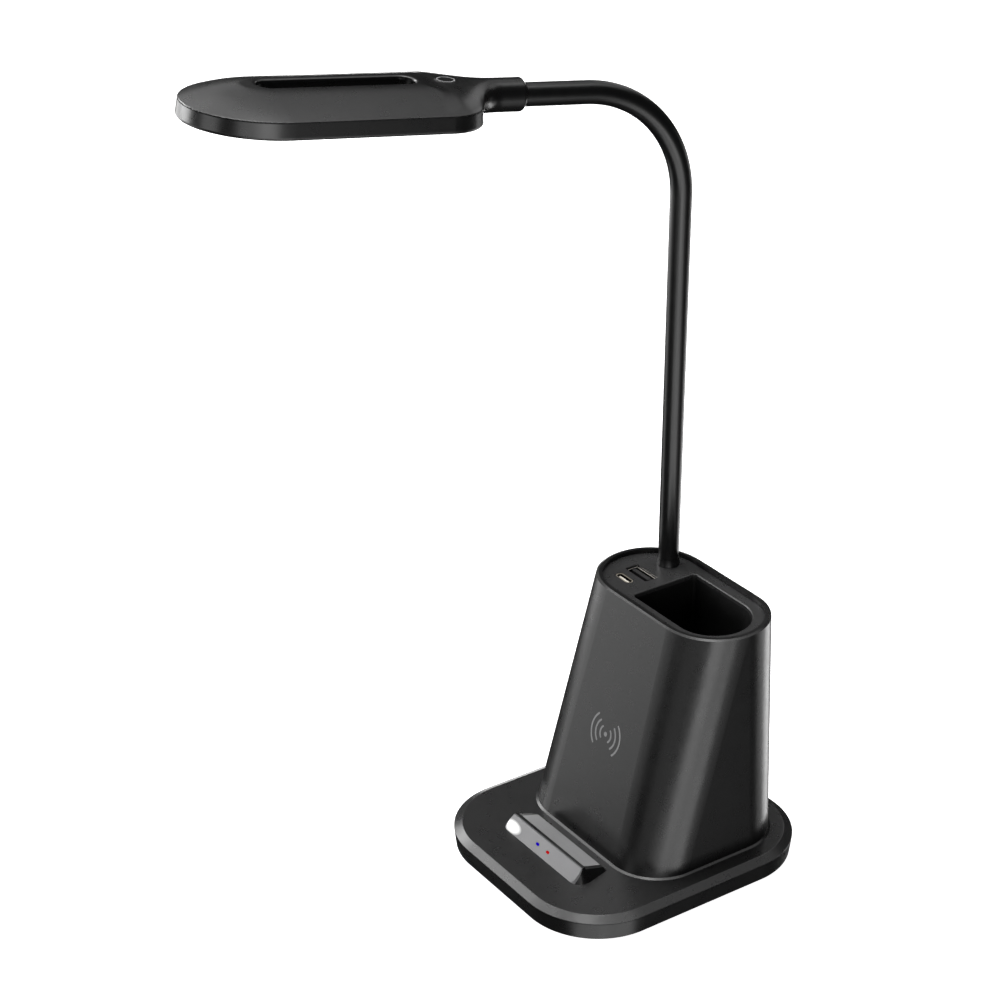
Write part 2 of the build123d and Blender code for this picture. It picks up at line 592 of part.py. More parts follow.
with BuildPart() as head_top_shell:
    for h, t in CROWN_RINGS:
        hw, af, rr = HEAD_W / 2 - t, HEAD_AF - t, max(HEAD_RR - t, 1.4)
        u0, u1 = t, HEAD_L - t
        with BuildSketch(HP.offset(h)):
            with BuildLine():
                EllipticalCenterArc((u1 - af, 0), af, hw, start_angle=-90, arc_size=90)
                EllipticalCenterArc((u1 - af, 0), af, hw, start_angle=0, arc_size=90)
                Line((u1 - af, hw), (u0 + rr, hw))
                RadiusArc((u0 + rr, hw), (u0, hw - rr), -rr)
                Line((u0, hw - rr), (u0, -hw + rr))
                RadiusArc((u0, -hw + rr), (u0 + rr, -hw), -rr)
                Line((u0 + rr, -hw), (u1 - af, -hw))
            make_face()
    loft()
    # inside
    for h, t in CROWN_RINGS:
        g = t + 1.8
        hw, af, rr = HEAD_W / 2 - g, HEAD_AF - g, max(HEAD_RR - g, 1.2)
        u0, u1 = g, HEAD_L - g
        with BuildSketch(HP.offset(h - 1.8)):
            with BuildLine():
                EllipticalCenterArc((u1 - af, 0), af, hw, start_angle=-90, arc_size=90)
                EllipticalCenterArc((u1 - af, 0), af, hw, start_angle=0, arc_size=90)
                Line((u1 - af, hw), (u0 + rr, hw))
                RadiusArc((u0 + rr, hw), (u0, hw - rr), -rr)
                Line((u0, hw - rr), (u0, -hw + rr))
                RadiusArc((u0, -hw + rr), (u0 + rr, -hw), -rr)
                Line((u0 + rr, -hw), (u1 - af, -hw))
            make_face()
    loft(mode=Mode.SUBTRACT)
    # wall around the slot, down to the underside
    with BuildSketch(HP.offset(HEAD_BOT + 0.2)):
        with Locations(((SLOT_U0 + SLOT_U1) / 2, 0)):
            SlotOverall(SLOT_U1 - SLOT_U0 + 3.2, SLOT_W + 3.2)
    extrude(amount=CROWN - 0.4 - HEAD_BOT - 0.2)
    with BuildSketch(HP.offset(HEAD_BOT - 2)):
        with Locations(((SLOT_U0 + SLOT_U1) / 2, 0)):
            SlotOverall(SLOT_U1 - SLOT_U0, SLOT_W)
    extrude(amount=20, mode=Mode.SUBTRACT)
    # screw posts
    with BuildSketch(HP.offset(0.9)):
        with Locations((14, 16), (14, -16), (88, 11.5), (88, -11.5)):
            Circle(2.6)
    extrude(amount=3.4)
    # neck socket
    with BuildSketch(AP.offset(HEAD_S - SOCK_L)):
        Circle(SOCK_R)
    extrude(amount=SOCK_L + 2.4)
    chamfer(head_top_shell.edges().filter_by(GeomType.CIRCLE).sort_by(Axis(HP.origin, U))[0], 1.3)
    with BuildSketch(AP.offset(HEAD_S - 1)):
        Circle(SOCK_R)
        with Locations((0.9 - 10, 0)):
            Rectangle(20, 40, mode=Mode.SUBTRACT)
    extrude(amount=RIDGE_L + 1)
    # flat round seat of the touch mark, and the room under it
    with BuildSketch(HP.offset(3.0)):
        with Locations((TOUCH_U, 0)):
            Circle(4.1)
    extrude(amount=TOUCH_Z - 3.0)
    with BuildSketch(HP.offset(0.5)):
        with Locations((TOUCH_U, 0)):
            Rectangle(9.2, 6.2)
    extrude(amount=4.1, mode=Mode.SUBTRACT)
    with BuildSketch(AP.offset(HEAD_S - SOCK_L)):
        Circle(4.8)
    extrude(amount=SOCK_L - 4.6, mode=Mode.SUBTRACT)
    with BuildSketch(AP.offset(HEAD_S - 6)):
        Circle(1.6)
    extrude(amount=14, mode=Mode.SUBTRACT)
    # tapped holes
    with BuildSketch(HP.offset(0.0)):
        with Locations((14, 16), (14, -16), (88, 11.5), (88, -11.5)):
            Circle(1.0)
    extrude(amount=3.4, mode=Mode.SUBTRACT)
    with BuildSketch(HP.offset(-8)):
        with Locations((-14, 0)):
            Circle(1.5)
    extrude(amount=6, mode=Mode.SUBTRACT)
    # groove of the touch mark
    with BuildSketch(HP.offset(TOUCH_Z - 0.35)):
        with Locations((TOUCH_U, 0)):
            Circle(3.6)
            Circle(2.7, mode=Mode.SUBTRACT)
    extrude(amount=2, mode=Mode.SUBTRACT)
head_top_shell.part.label = "head_top_shell"
export_step(head_top_shell.part, "parts/head_top_shell.step")

with BuildPart() as head_frame:
    for h, g in ((HEAD_BOT, -0.6), (SEAM - 0.04, 0.0)):
        hw, af, rr = HEAD_W / 2 - g, HEAD_AF - g, HEAD_RR - g
        u0, u1 = g, HEAD_L - g
        with BuildSketch(HP.offset(h)):
            with BuildLine():
                EllipticalCenterArc((u1 - af, 0), af, hw, start_angle=-90, arc_size=90)
                EllipticalCenterArc((u1 - af, 0), af, hw, start_angle=0, arc_size=90)
                Line((u1 - af, hw), (u0 + rr, hw))
                RadiusArc((u0 + rr, hw), (u0, hw - rr), -rr)
                Line((u0, hw - rr), (u0, -hw + rr))
                RadiusArc((u0, -hw + rr), (u0 + rr, -hw), -rr)
                Line((u0 + rr, -hw), (u1 - af, -hw))
            make_face()
    loft(ruled=True)
    fillet(head_frame.faces().sort_by(Axis(HP.origin, W))[0].edges(), 1.1)
    for h, g, up in ((HEAD_BOT + 1.0, 1.8, 8.0), (HEAD_BOT - 1.0, 3.8, 4.0)):
        hw, af, rr = HEAD_W / 2 - g, HEAD_AF - g, HEAD_RR - g
        u0, u1 = g, HEAD_L - g
        with BuildSketch(HP.offset(h)):
            with BuildLine():
                EllipticalCenterArc((u1 - af, 0), af, hw, start_angle=-90, arc_size=90)
                EllipticalCenterArc((u1 - af, 0), af, hw, start_angle=0, arc_size=90)
                Line((u1 - af, hw), (u0 + rr, hw))
                RadiusArc((u0 + rr, hw), (u0, hw - rr), -rr)
                Line((u0, hw - rr), (u0, -hw + rr))
                RadiusArc((u0, -hw + rr), (u0 + rr, -hw), -rr)
                Line((u0 + rr, -hw), (u1 - af, -hw))
            make_face()
        extrude(amount=up, mode=Mode.SUBTRACT)
    # room for the neck socket
    with BuildSketch(AP.offset(HEAD_S - 4)):
        Circle(SOCK_R + 0.05)
    extrude(amount=6.5, mode=Mode.SUBTRACT)
head_frame.part.label = "head_frame"
export_step(head_frame.part, "parts/head_frame.step")

with BuildPart() as diffuser:
    g = 1.9
    hw, af, rr = HEAD_W / 2 - g, HEAD_AF - g, HEAD_RR - g
    u0, u1 = 2.6, HEAD_L - g
    with BuildSketch(HP.offset(HEAD_BOT + 1.0)):
        with BuildLine():
            EllipticalCenterArc((u1 - af, 0), af, hw, start_angle=-90, arc_size=90)
            EllipticalCenterArc((u1 - af, 0), af, hw, start_angle=0, arc_size=90)
            Line((u1 - af, hw), (u0 + rr, hw))
            RadiusArc((u0 + rr, hw), (u0, hw - rr), -rr)
            Line((u0, hw - rr), (u0, -hw + rr))
            RadiusArc((u0, -hw + rr), (u0 + rr, -hw), -rr)
            Line((u0 + rr, -hw), (u1 - af, -hw))
        make_face()
        with Locations(((SLOT_U0 + SLOT_U1) / 2, 0)):
            SlotOverall(SLOT_U1 - SLOT_U0 + 3.3, SLOT_W + 3.3, mode=Mode.SUBTRACT)
    extrude(amount=1.5)
diffuser.part.label = "diffuser"
export_step(diffuser.part, "parts/diffuser.step")

with BuildPart() as led_board:
    g = 2.6
    hw, af, rr = HEAD_W / 2 - g, HEAD_AF - g, HEAD_RR - g
    u0, u1 = 3.2, HEAD_L - g
    with BuildSketch(HP.offset(-0.3)):
        with BuildLine():
            EllipticalCenterArc((u1 - af, 0), af, hw, start_angle=-90, arc_size=90)
            EllipticalCenterArc((u1 - af, 0), af, hw, start_angle=0, arc_size=90)
            Line((u1 - af, hw), (u0 + rr, hw))
            RadiusArc((u0 + rr, hw), (u0, hw - rr), -rr)
            Line((u0, hw - rr), (u0, -hw + rr))
            RadiusArc((u0, -hw + rr), (u0 + rr, -hw), -rr)
            Line((u0 + rr, -hw), (u1 - af, -hw))
        make_face()
        with Locations(((SLOT_U0 + SLOT_U1) / 2, 0)):
            SlotOverall(SLOT_U1 - SLOT_U0 + 3.6, SLOT_W + 3.6, mode=Mode.SUBTRACT)
        with Locations((14, 16), (14, -16), (88, 11.5), (88, -11.5)):
            Circle(1.1, mode=Mode.SUBTRACT)
    extrude(amount=1.2)
led_board.part.label = "led_board"
export_step(led_board.part, "parts/led_board.step")

with BuildPart() as leds:
    with BuildSketch(HP.offset(-1.0)):
        with Locations((51, 16)):
            with GridLocations(9.0, 9.0, 8, 2):
                Rectangle(2.8, 3.5)
        with Locations((51, -16)):
            with GridLocations(9.0, 9.0, 8, 2):
                Rectangle(2.8, 3.5)
    extrude(amount=0.7)
leds.part.label = "leds"
export_step(leds.part, "parts/leds.step")

with BuildPart() as touch_ring:
    with BuildSketch(HP.offset(TOUCH_Z - 0.35)):
        with Locations((TOUCH_U, 0)):
            Circle(3.55)
            Circle(2.75, mode=Mode.SUBTRACT)
    extrude(amount=0.37)
touch_ring.part.label = "touch_ring"
export_step(touch_ring.part, "parts/touch_ring.step")

with BuildPart() as touch_board:
    with BuildSketch(HP.offset(3.2)):
        with Locations((TOUCH_U, 0)):
            RectangleRounded(9.0, 6.0, 1.0)
    extrude(amount=1.4)
touch_board.part.label = "touch_board"
export_step(touch_board.part, "parts/touch_board.step")

with BuildPart() as head_screws:
    with BuildSketch(HP.offset(-1.2)):
        with Locations((14, 16), (14, -16), (88, 11.5), (88, -11.5)):
            Circle(1.9)
    extrude(amount=0.9)
    with BuildSketch(HP.offset(-0.3)):
        with Locations((14, 16), (14, -16), (88, 11.5), (88, -11.5)):
            Circle(1.0)
    extrude(amount=3.4)
head_screws.part.label = "head_screws"
export_step(head_screws.part, "parts/head_screws.step")

with BuildPart() as head_ferrule:
    with BuildSketch(AP.offset(HEAD_S - SOCK_L + 1.5)):
        Circle(4.8)
        Circle(NECK_R, mode=Mode.SUBTRACT)
    extrude(amount=17.0)
head_ferrule.part.label = "head_ferrule"
export_step(head_ferrule.part, "parts/head_ferrule.step")

with BuildPart() as head_grub_screw:
    with BuildSketch(HP.offset(-6.0)):
        with Locations((-14, 0)):
            Circle(1.5)
    extrude(amount=1.1)
    with BuildSketch(HP.offset(-6.0)):
        with Locations((-14, 0)):
            RegularPolygon(0.8, 6)
    extrude(amount=0.7, mode=Mode.SUBTRACT)
head_grub_screw.part.label = "head_grub_screw"
export_step(head_grub_screw.part, "parts/head_grub_screw.step")
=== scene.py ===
import math

import bpy
import numpy as np
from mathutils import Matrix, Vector


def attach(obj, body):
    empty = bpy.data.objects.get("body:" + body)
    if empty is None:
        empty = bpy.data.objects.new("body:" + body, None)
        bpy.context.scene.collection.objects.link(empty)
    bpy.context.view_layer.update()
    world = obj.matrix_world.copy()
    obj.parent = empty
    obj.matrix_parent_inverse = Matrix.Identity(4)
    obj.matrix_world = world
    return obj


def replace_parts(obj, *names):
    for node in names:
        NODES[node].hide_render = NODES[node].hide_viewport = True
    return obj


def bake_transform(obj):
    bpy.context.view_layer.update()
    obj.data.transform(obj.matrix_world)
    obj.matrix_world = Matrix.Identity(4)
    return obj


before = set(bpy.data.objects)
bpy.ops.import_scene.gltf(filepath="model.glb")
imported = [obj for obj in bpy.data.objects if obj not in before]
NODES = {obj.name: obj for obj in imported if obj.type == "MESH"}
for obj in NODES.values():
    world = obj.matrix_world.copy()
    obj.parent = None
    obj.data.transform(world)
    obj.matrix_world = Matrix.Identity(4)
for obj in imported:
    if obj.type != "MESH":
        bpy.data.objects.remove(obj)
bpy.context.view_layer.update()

MM = 0.001

# ------------------------------------------------------------------ camera
scene = bpy.context.scene
az, pitch = math.radians(55.57), math.radians(26.99)
look = Vector((-math.sin(az) * math.cos(pitch), math.cos(az) * math.cos(pitch), -math.sin(pitch)))
cam = bpy.data.cameras.new("camera")
cam.sensor_width = 36.0
cam.lens = 2482.2 * 36.0 / 1000.0
cam.clip_start = 0.05
cam_obj = bpy.data.objects.new("camera", cam)
scene.collection.objects.link(cam_obj)
cam_obj.location = Vector((0.69850, -0.54248, 0.61439))
cam_obj.rotation_euler = look.to_track_quat("-Z", "Y").to_euler()
scene.camera = cam_obj
scene.view_settings.view_transform = "Standard"

# ------------------------------------------------------------------ materials


def new_mat(name):
    m = bpy.data.materials.new(name)
    m.use_nodes = True
    nt = m.node_tree
    return m, nt, nt.nodes["Principled BSDF"]


def add(nt, kind, **inputs):
    n = nt.nodes.new(kind)
    for k, v in inputs.items():
        n.inputs[k.replace("_", " ")].default_value = v
    return n


def coords(nt):
    return nt.nodes.new("ShaderNodeTexCoord").outputs["Object"]


def ramp(nt, fac, stops):
    r = nt.nodes.new("ShaderNodeValToRGB")
    nt.links.new(fac, r.inputs["Fac"])
    e = r.color_ramp.elements
    while len(e) < len(stops):
        e.new(0.5)
    for el, (p, c) in zip(e, stops):
        el.position = p
        el.color = tuple(c) + (1.0,)
    return r.outputs["Color"]


def span(nt, fac, lo, hi, a=0.35, b=0.65):
    r = nt.nodes.new("ShaderNodeMapRange")
    nt.links.new(fac, r.inputs["Value"])
    r.inputs["From Min"].default_value = a
    r.inputs["From Max"].default_value = b
    r.inputs["To Min"].default_value = lo
    r.inputs["To Max"].default_value = hi
    return r.outputs["Result"]


def noise(nt, co, scale, detail=2.0, rough=0.5):
    n = add(nt, "ShaderNodeTexNoise", Scale=scale, Detail=detail, Roughness=rough)
    nt.links.new(co, n.inputs["Vector"])
    return n.outputs["Fac"]


def grained(name, dark, light, rough=(0.40, 0.50), grain=2600.0, depth=0.00003, strength=0.10, spec=0.5, cloud=45.0):
    """Moulded plastic or rubber with a fine spark-eroded grain."""
    m, nt, b = new_mat(name)
    co = coords(nt)
    nt.links.new(ramp(nt, noise(nt, co, cloud, 3.0), [(0.3, dark), (0.7, light)]), b.inputs["Base Color"])
    nt.links.new(span(nt, noise(nt, co, cloud * 3.7, 4.0), *rough), b.inputs["Roughness"])
    bump = nt.nodes.new("ShaderNodeBump")
    bump.inputs["Strength"].default_value = strength
    bump.inputs["Distance"].default_value = depth
    nt.links.new(noise(nt, co, grain, 2.0, 0.6), bump.inputs["Height"])
    nt.links.new(bump.outputs["Normal"], b.inputs["Normal"])
    b.inputs["Specular IOR Level"].default_value = spec
    return m


HOUSING = grained("housing_plastic", (0.0040, 0.0040, 0.0041), (0.0050, 0.0050, 0.0051), (0.27, 0.30))
# base lid and deck: the housing's black plastic, painted lighter to stand in for the light their upward faces catch
LID_PAINTED_LIGHT = grained("lid_plastic_painted_light", (0.0145, 0.0145, 0.0147), (0.0170, 0.0170, 0.0172), (0.27, 0.30))
DECK_PAINTED_LIGHT = grained("deck_plastic_painted_light", (0.028, 0.028, 0.0283), (0.032, 0.032, 0.0323), (0.27, 0.30))
CUP = grained("cup_plastic", (0.0040, 0.0040, 0.0041), (0.0050, 0.0050, 0.0051), (0.42, 0.5))
SLEEVE = grained("sleeve_rubber", (0.0032, 0.0032, 0.0033), (0.0042, 0.0042, 0.0043), (0.28, 0.31), grain=3200.0, cloud=70.0)
FOOT = grained("foot_rubber", (0.008, 0.008, 0.008), (0.012, 0.012, 0.012), (0.7, 0.85), grain=1500.0)
PAD = grained("rest_rubber", (0.235, 0.235, 0.238), (0.265, 0.265, 0.268), (0.55, 0.68), grain=1800.0, depth=0.00005)
WINDOW = grained("window_plastic", (0.110, 0.110, 0.114), (0.132, 0.132, 0.136), (0.30, 0.38), grain=3000.0, strength=0.15)
MARK = grained("mark_plastic", (0.15, 0.15, 0.152), (0.19, 0.19, 0.192), (0.45, 0.55), grain=3000.0, strength=0.15)
RING = grained("ring_plastic", (0.26, 0.26, 0.265), (0.31, 0.31, 0.315), (0.30, 0.40), grain=3000.0, strength=0.1)
PORT_PLASTIC = grained("port_plastic", (0.006, 0.006, 0.006), (0.009, 0.009, 0.009), (0.45, 0.55))
PORT_INSERT = grained("port_insert", (0.70, 0.66, 0.58), (0.80, 0.76, 0.68), (0.35, 0.45), grain=3000.0, strength=0.1)
INNER = grained("inner_plastic", (0.16, 0.16, 0.16), (0.2, 0.2, 0.2), (0.5, 0.6))
BLACK_PART = grained("component_plastic", (0.012, 0.012, 0.012), (0.018, 0.018, 0.018), (0.35, 0.45))
FERRITE = grained("ferrite", (0.06, 0.055, 0.055), (0.085, 0.08, 0.08), (0.55, 0.7), grain=1200.0)
OPAL = grained("opal_plastic", (0.78, 0.78, 0.76), (0.83, 0.83, 0.81), (0.30, 0.38), grain=2500.0, strength=0.15)
LED = grained("led_resin", (0.72, 0.55, 0.16), (0.82, 0.66, 0.22), (0.25, 0.35), grain=1500.0)


def metal(name, dark, light, rough, streak=(400.0, 400.0, 3000.0)):
    m, nt, b = new_mat(name)
    co = coords(nt)
    mp = nt.nodes.new("ShaderNodeMapping")
    mp.inputs["Scale"].default_value = streak
    nt.links.new(co, mp.inputs["Vector"])
    f = noise(nt, mp.outputs["Vector"], 1.0, 4.0, 0.65)
    nt.links.new(ramp(nt, f, [(0.3, dark), (0.7, light)]), b.inputs["Base Color"])
    nt.links.new(span(nt, f, *rough), b.inputs["Roughness"])
    b.inputs["Metallic"].default_value = 1.0
    return m


def shade_painted_shell(name, node, inside, lip, rough):
    """Port shell: bare metal along the cut edge; the inside colour is painted shade on the walls below it."""
    m, nt, b = new_mat(name)
    co = coords(nt)
    sep = nt.nodes.new("ShaderNodeSeparateXYZ")
    nt.links.new(co, sep.inputs["Vector"])
    top = max(v.co.z for v in NODES[node].data.vertices)
    f = span(nt, sep.outputs["Z"], 0.0, 1.0, top - 0.0003, top - 0.00005)
    nt.links.new(ramp(nt, f, [(0.0, inside), (1.0, lip)]), b.inputs["Base Color"])
    nt.links.new(span(nt, noise(nt, co, 900.0, 3.0), *rough), b.inputs["Roughness"])
    b.inputs["Metallic"].default_value = 1.0
    return m


# port shells: the dark inside colour is painted shade, the lip colour is the metal
PORT_METAL = shade_painted_shell("port_metal", "usb_a_shell", (0.012, 0.012, 0.012), (0.80, 0.76, 0.70), (0.34, 0.44))
PORT_PLATE = shade_painted_shell("port_plate", "usb_c_shell", (0.012, 0.011, 0.010), (0.36, 0.33, 0.28), (0.40, 0.5))
STEEL = metal("fastener_steel", (0.50, 0.50, 0.50), (0.66, 0.66, 0.66), (0.25, 0.4))
IRON = metal("ballast_steel", (0.20, 0.20, 0.20), (0.30, 0.30, 0.30), (0.45, 0.6))
COPPER = metal("coil_copper", (0.62, 0.26, 0.12), (0.80, 0.40, 0.20), (0.25, 0.35))
LED_PLATE = metal("led_plate", (0.80, 0.80, 0.80), (0.88, 0.88, 0.88), (0.4, 0.5))


def circuit(name):
    m, nt, b = new_mat(name)
    co = coords(nt)
    v = add(nt, "ShaderNodeTexVoronoi", Scale=420.0)
    v.distance = "MANHATTAN"
    v.feature = "F1"
    nt.links.new(co, v.inputs["Vector"])
    nt.links.new(ramp(nt, v.outputs["Distance"], [(0.45, (0.012, 0.085, 0.03)), (0.55, (0.02, 0.13, 0.045))]), b.inputs["Base Color"])
    nt.links.new(span(nt, noise(nt, co, 90.0), 0.3, 0.42), b.inputs["Roughness"])
    return m


BOARD = circuit("circuit_board")


def lens(name, rgb, glow):
    m, nt, b = new_mat(name)
    co = coords(nt)
    f = noise(nt, co, 1500.0, 2.0)
    nt.links.new(ramp(nt, f, [(0.3, tuple(c * 0.85 for c in rgb)), (0.7, rgb)]), b.inputs["Base Color"])
    nt.links.new(span(nt, f, 0.35, 0.45), b.inputs["Roughness"])
    b.inputs["Specular IOR Level"].default_value = 0.0
    b.inputs["Emission Color"].default_value = tuple(rgb) + (1.0,)
    b.inputs["Emission Strength"].default_value = glow
    return m


BLUE = lens("blue_lens", (0.012, 0.003, 0.32), 0.22)
RED = lens("red_lens", (0.36, 0.006, 0.007), 0.17)

def painted_glint(material, node, strength):
    """Painted highlight: a soft white glow at the left end of the window, standing in for a glint."""
    nt = material.node_tree
    b = nt.nodes["Principled BSDF"]
    xs = [v.co.x for v in NODES[node].data.vertices]
    zs = [v.co.z for v in NODES[node].data.vertices]
    lx, lz = max(xs) - min(xs), max(zs) - min(zs)
    off = nt.nodes.new("ShaderNodeVectorMath")
    off.operation = "SUBTRACT"
    off.inputs[1].default_value = (min(xs) + 0.083 * lx, 0.0, min(zs) + 0.36 * lz)
    nt.links.new(coords(nt), off.inputs[0])
    fit = nt.nodes.new("ShaderNodeVectorMath")
    fit.operation = "MULTIPLY"
    fit.inputs[1].default_value = (1.0 / (0.095 * lx), 0.0, 1.0 / (0.32 * lz))
    nt.links.new(off.outputs["Vector"], fit.inputs[0])
    far = nt.nodes.new("ShaderNodeVectorMath")
    far.operation = "LENGTH"
    nt.links.new(fit.outputs["Vector"], far.inputs[0])
    nt.links.new(span(nt, far.outputs["Value"], strength, 0.0, 0.58, 1.28), b.inputs["Emission Strength"])
    b.inputs["Emission Color"].default_value = (1.0, 1.0, 0.99, 1.0)


# painted highlight: emission on the window's left end stands in for a glint
painted_glint(WINDOW, "status_window", 1.25)

WEARS = {
    "anti_slip_pad": FOOT, "base_tray": HOUSING, "base_ballast": IRON, "base_top_shell": LID_PAINTED_LIGHT, "base_screws": STEEL,
    "body_shell": HOUSING, "deck_panel": DECK_PAINTED_LIGHT, "pen_cup": CUP,
    "usb_a_shell": PORT_METAL, "usb_a_tongue": PORT_PLASTIC, "usb_c_shell": PORT_PLATE, "usb_c_tongue": PORT_INSERT, "usb_board": BOARD,
    "charging_coil": COPPER, "ferrite_sheet": FERRITE, "coil_bracket": INNER, "board_standoffs": INNER, "main_board": BOARD,
    "board_parts": BLACK_PART, "power_inlet": BLACK_PART,
    "phone_rest": HOUSING, "phone_rest_pad": PAD, "status_window": WINDOW, "blue_indicator": BLUE, "red_indicator": RED, "indicator_board": BOARD,
    "neck_collar": HOUSING, "neck_stud": STEEL, "neck_washer": STEEL, "neck_nut": STEEL,
    "head_frame": HOUSING, "diffuser": OPAL, "led_board": LED_PLATE, "leds": LED, "touch_board": BOARD,
    "head_screws": STEEL, "head_ferrule": STEEL, "head_grub_screw": STEEL,
}


def wear(obj, material):
    obj.data.materials.clear()
    obj.data.materials.append(material)


for node, material in WEARS.items():
    wear(NODES[node], material)

# ------------------------------------------------------------------ sizes shared with the CAD model (mm)
LID_Z1 = 10.65
FOOT_D, FOOT_Y = 76.8, 15.6
RIM_D, RIM_Y, RIM_Z = 47.8, 28.0, 114.05
DECK_Z = 112.05
NECK_X, NECK_Y, NECK_R = -26.2, 40.9, 4.4
psi, eps = math.radians(7.8), math.radians(6.3)
BEND_R, CORNER_Z = 48.3, 320.5
HV = np.array([-math.sin(psi), -math.cos(psi), 0.0])
UV = HV * math.cos(eps) + np.array([0, 0, math.sin(eps)])
WV = np.array([0, 0, math.cos(eps)]) - HV * math.sin(eps)
YV = np.cross(WV, UV)
BEND = math.pi / 2 - eps
TANGENT = BEND_R * math.tan(BEND / 2)
CORNER = np.array([NECK_X, NECK_Y, CORNER_Z])
BEND_Z = CORNER_Z - TANGENT
BEND_C = np.array([NECK_X, NECK_Y, BEND_Z]) + HV * BEND_R
LOW_HINGES = (128.0, 158.0, 188.0, 218.0, 248.0)
ARM_HINGES = (52.5, 61.6)
HEAD_S = 94.65
HEAD_L, HEAD_W, HEAD_AF, HEAD_RR = 111.25, 57.3, 31.6, 18.0
SEAM, HEAD_BOT, CROWN = 0.9, -5.25, 7.2
SLOT_U0, SLOT_U1, SLOT_W = 21.65, 83.25, 10.2
SOCK_R, SOCK_L = 6.4, 23.95
TOUCH_U, TOUCH_Z = 8.95, 6.68
HEAD_O = CORNER + UV * HEAD_S


def head_to_row(p):
    p = np.asarray(p, float)
    return HEAD_O + p[..., [0]] * UV + p[..., [1]] * YV + p[..., [2]] * WV


def make_mesh(name, verts_mm, faces, material, smooth=True):
    me = bpy.data.meshes.new(name)
    me.from_pydata([tuple(v) for v in np.asarray(verts_mm) * MM], [], [tuple(int(i) for i in f) for f in faces])
    me.update()
    if smooth:
        me.polygons.foreach_set("use_smooth", [True] * len(me.polygons))
    me.materials.append(material)
    ob = bpy.data.objects.new(name, me)
    scene.collection.objects.link(ob)
    return ob


# ------------------------------------------------------------------ neck sleeve
# distance along the neck: 0 at the deck, then up, round the bend and along the arm
S_BEND0 = BEND_Z - DECK_Z
S_BEND1 = S_BEND0 + BEND_R * BEND
S_END = S_BEND1 + (HEAD_S - 6.0 - TANGENT)


def neck_at(s):
    """Point, direction and sideways unit vector at distance s."""
    side = np.array([math.cos(psi), -math.sin(psi), 0.0])
    if s <= S_BEND0:
        return np.array([NECK_X, NECK_Y, DECK_Z + s]), np.array([0, 0, 1.0]), side
    if s <= S_BEND1:
        a = (s - S_BEND0) / BEND_R
        p = BEND_C - HV * (BEND_R * math.cos(a)) + np.array([0, 0, BEND_R * math.sin(a)])
        return p, HV * math.sin(a) + np.array([0, 0, math.cos(a)]), side
    return CORNER + UV * (TANGENT + s - S_BEND1), UV, side


def sleeve_r(s):
    """The sleeve swells a little round the bend, where it is stretched over the core."""
    t = min(max((s - S_BEND0) / (S_BEND1 - S_BEND0), 0.0), 1.0)
    return NECK_R + 0.02 + 0.16 * t * t * (3 - 2 * t)


HINGE_S = [z - DECK_Z for z in LOW_HINGES] + [S_BEND0 + BEND_R * BEND * k / 3 for k in range(4)]
HINGE_S += [S_BEND1 + a - TANGENT for a in ARM_HINGES]
CUTS = [0.0] + [(HINGE_S[i] + HINGE_S[i + 1]) / 2 for i in range(10)] + [S_END]
SPANS = ["neck_foot"] + ["neck_span_%02d" % i for i in range(1, 12)]
AROUND = 64
for j in range(11):
    s0, s1 = CUTS[j], CUTS[j + 1]
    rows = max(8, int(round((s1 - s0) / 0.7)))
    verts, faces = [], []
    for r in range(rows + 1):
        p, d, side = neck_at(s0 + (s1 - s0) * r / rows)
        other = np.cross(d, side)
        rad = sleeve_r(s0 + (s1 - s0) * r / rows)
        for k in range(AROUND):
            a = 2 * math.pi * k / AROUND
            verts.append(p + rad * (math.cos(a) * side + math.sin(a) * other))
    for r in range(rows):
        for k in range(AROUND):
            k2 = (k + 1) % AROUND
            faces.append((r * AROUND + k, r * AROUND + k2, (r + 1) * AROUND + k2, (r + 1) * AROUND + k))
    piece = make_mesh("neck_sleeve_%02d" % (j + 1), verts, faces, SLEEVE)
    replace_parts(piece, SPANS[j], SPANS[j + 1]) if j == 0 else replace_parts(piece, SPANS[j + 1])
    p, d, _ = neck_at(HINGE_S[j])
    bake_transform(piece)

# ------------------------------------------------------------------ head shell: crowned plate, slot and neck socket in one blended form


def smax(a, b, k):
    h = np.clip(0.5 + 0.5 * (a - b) / k, 0, 1)
    return b + (a - b) * h + k * h * (1 - h)


def smin(a, b, k):
    return -smax(-a, -b, k)


def sstep(x, a, b):
    t = np.clip((x - a) / (b - a), 0, 1)
    return t * t * (3 - 2 * t)


def d_plan(u, y):
    """Signed distance to the head's outline seen from above, negative inside."""
    ya = np.abs(y)
    dx, dy = HEAD_RR - u, ya - (HEAD_W / 2 - HEAD_RR)
    box = np.hypot(np.maximum(dx, 0), np.maximum(dy, 0)) - HEAD_RR + np.minimum(np.maximum(dx, dy), 0)
    uc = HEAD_L - HEAD_AF
    e = np.sqrt(((u - uc) / HEAD_AF) ** 2 + (y / (HEAD_W / 2)) ** 2) + 1e-9
    rho = np.hypot(u - uc, y)
    return np.where(u > uc, rho - rho / e, box)


def d_slot(u, y):
    half = (SLOT_U1 - SLOT_U0) / 2 - SLOT_W / 2
    return np.hypot(np.maximum(np.abs(u - (SLOT_U0 + SLOT_U1) / 2) - half, 0), y) - SLOT_W / 2


def top_of(u, y):
    """Height of the head's upper face: a dome with a low wall at its edge."""
    inset = np.clip(-d_plan(u, y), 0, 22.0)
    edge = SEAM + 0.32
    return edge + (CROWN - edge) * (1 - (1 - inset / 22.0) ** 1.5)


